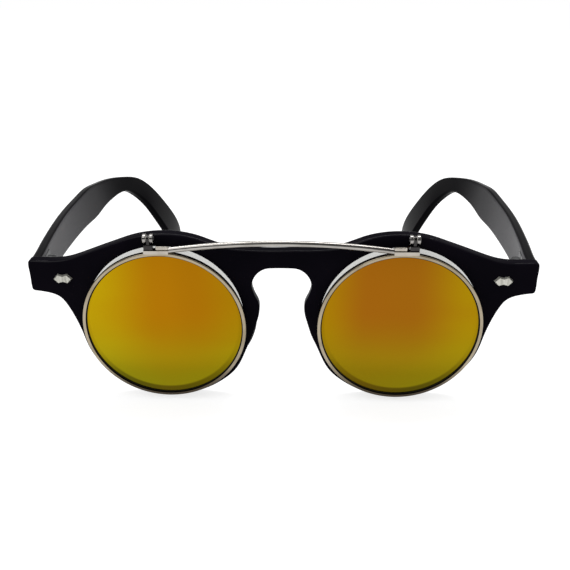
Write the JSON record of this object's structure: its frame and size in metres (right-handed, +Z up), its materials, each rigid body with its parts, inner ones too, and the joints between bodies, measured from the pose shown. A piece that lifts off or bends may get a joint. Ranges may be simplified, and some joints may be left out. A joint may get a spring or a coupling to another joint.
{
  "type": "flip-up sunglasses",
  "caption": "Round-eyed black sunglasses with folding arms and a metal clip of amber mirrored lenses that turns up on hinges at the brow.",
  "frame": {"origin": "on the surface the glasses stand on, midway between the sides and midway between the clip's lenses and the ends of the arms", "axes": "+X to the right as the picture shows the front, +Y back along the arms, +Z up; the front faces -Y"},
  "size_m": [0.1524, 0.137, 0.0543],
  "materials": {
    "black_acetate": "polished black acetate",
    "clear_lens": "clear, uncoated",
    "amber_mirror": "amber mirror coating over a dark tint",
    "polished_metal": "polished pale nickel",
    "pale_metal": "satin",
    "hinge_steel": "plain",
    "core_steel": "plain",
    "washer_nylon": "plain"
  },
  "bodies": {
    "frame": {"clear_lens_left": "clear_lens", "clear_lens_right": "clear_lens", "flip_bracket_left": "polished_metal", "flip_bracket_right": "polished_metal", "flip_pin_left": "hinge_steel", "flip_pin_right": "hinge_steel", "flip_washers_left": "washer_nylon", "flip_washers_right": "washer_nylon", "frame_front": "black_acetate", "front_hinge_left": "hinge_steel", "front_hinge_right": "hinge_steel", "hinge_screw_left": "hinge_steel", "hinge_screw_right": "hinge_steel", "nose_pad_left": "black_acetate", "nose_pad_right": "black_acetate", "plaque_left": "pale_metal", "plaque_right": "pale_metal"},
    "flip_clip": {"bar_block_left": "polished_metal", "bar_block_right": "polished_metal", "bridge_bar": "polished_metal", "clip_rim_left": "polished_metal", "clip_rim_right": "polished_metal", "flip_tongue_left": "polished_metal", "flip_tongue_right": "polished_metal", "mirror_lens_left": "amber_mirror", "mirror_lens_right": "amber_mirror", "rim_saddle_left": "polished_metal", "rim_saddle_right": "polished_metal"},
    "arm_left": {"arm_left": "black_acetate", "arm_hinge_left": "hinge_steel", "core_wire_left": "core_steel"},
    "arm_right": {"arm_right": "black_acetate", "arm_hinge_right": "hinge_steel", "core_wire_right": "core_steel"}
  },
  "joints": [
    {"name": "clip_flip", "type": "hinge", "parent": "frame", "child": "flip_clip", "pos_m": [0, -0.0667, 0.05298], "axis": [-1, 0, 0], "range_deg": [0, 90]},
    {"name": "arm_left_fold", "type": "hinge", "parent": "frame", "child": "arm_left", "pos_m": [-0.06695, -0.0588, 0.04063], "axis": [0, 0, -1], "range_deg": [0, 82]},
    {"name": "arm_right_fold", "type": "hinge", "parent": "frame", "child": "arm_right", "pos_m": [0.06695, -0.0588, 0.04063], "axis": [0, 0, 1], "range_deg": [0, 73]}
  ]
}
